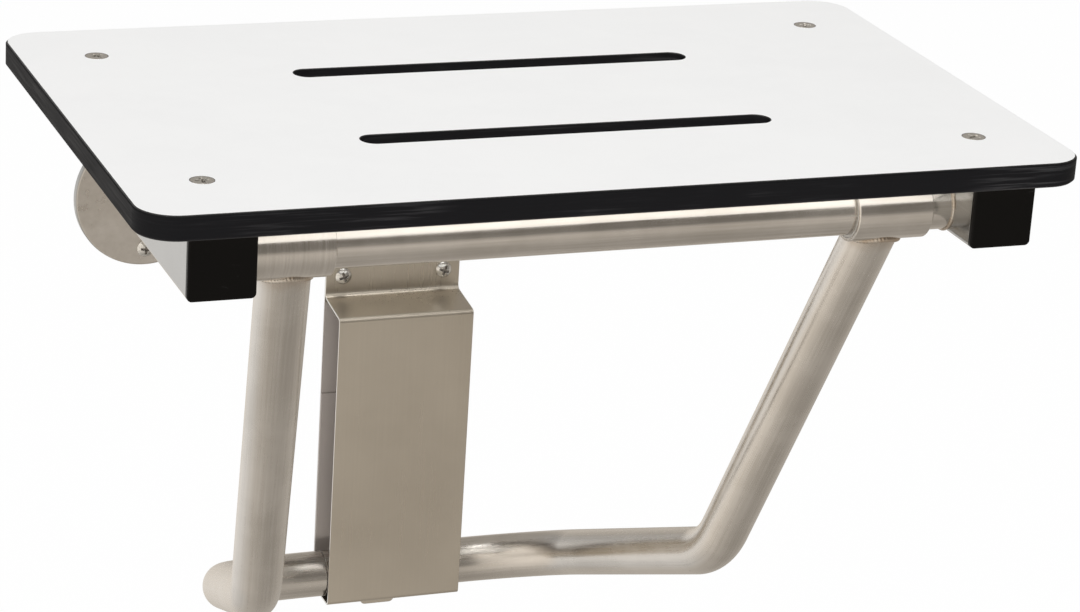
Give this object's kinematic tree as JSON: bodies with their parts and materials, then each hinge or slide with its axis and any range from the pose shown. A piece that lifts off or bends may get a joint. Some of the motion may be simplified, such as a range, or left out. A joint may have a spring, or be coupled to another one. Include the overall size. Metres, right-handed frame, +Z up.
{
  "type": "fold down wall seat",
  "caption": "Fold down wall seat: slotted white board on a steel tube frame, hinged on round wall flanges, with a bent brace tube sliding in a wall guide.",
  "frame": {"origin": "on the wall plane, midway between the two upper screws of the guide", "axes": "+X along the wall to the right as seen from the room, +Y into the wall, +Z up"},
  "size_m": [0.462, 0.372, 0.36],
  "materials": {
    "laminate_core": "black compact laminate edge, fine machining marks",
    "white_decor": "matte white decor sheet",
    "black_plastic": "smooth satin black moulded plastic",
    "liner_plastic": "natural nylon",
    "satin_tube": "satin stainless tube",
    "brushed_sheet": "brushed stainless sheet",
    "screw_steel": "turned stainless screws"
  },
  "bodies": {
    "wall_mount": {"guide_cover": "brushed_sheet", "guide_back_plate": "brushed_sheet", "guide_upper_screws": "screw_steel", "guide_tab_screw": "screw_steel", "left_wall_flange": "satin_tube", "left_flange_screws": "screw_steel", "left_wall_arm": "satin_tube", "left_hinge_sleeve": "satin_tube", "left_hinge_liner": "liner_plastic", "right_wall_flange": "satin_tube", "right_flange_screws": "screw_steel", "right_wall_arm": "satin_tube", "right_hinge_sleeve": "satin_tube", "right_hinge_liner": "liner_plastic"},
    "seat": {"seat_core": "laminate_core", "seat_top_sheet": "white_decor", "seat_underside_sheet": "white_decor", "board_screws": "screw_steel", "board_screw_nuts": "screw_steel", "front_crossbar": "satin_tube", "hinge_bar": "satin_tube", "left_side_tube": "satin_tube", "left_front_plug": "black_plastic", "left_rear_plug": "black_plastic", "right_side_tube": "satin_tube", "right_front_plug": "black_plastic", "right_rear_plug": "black_plastic"},
    "brace": {"left_brace_sleeve": "satin_tube", "left_brace_liner": "liner_plastic", "left_brace_leg": "satin_tube", "right_brace_sleeve": "satin_tube", "right_brace_liner": "liner_plastic", "right_brace_leg": "satin_tube"},
    "guide_slider": {"brace_foot": "satin_tube"}
  },
  "joints": [
    {"name": "seat_fold", "type": "hinge", "parent": "wall_mount", "child": "seat", "pos_m": [0, -0.073, 0.12835], "axis": [-1, 0, 0], "range_deg": [0, 90]},
    {"name": "brace_swing", "type": "hinge", "parent": "seat", "child": "brace", "pos_m": [0, -0.296, 0.12835], "axis": [-1, 0, 0], "range_deg": [-55.06, 0]},
    {"name": "foot_slide", "type": "slide", "parent": "wall_mount", "child": "guide_slider", "axis": [0, 0, 1], "range_m": [0, 0.1163]}
  ],
  "couplings": [
    {"joint": "brace_swing", "follows": "seat_fold", "ratio": -0.61125},
    {"joint": "foot_slide", "follows": "seat_fold", "m_per_rad": 0.073947}
  ]
}
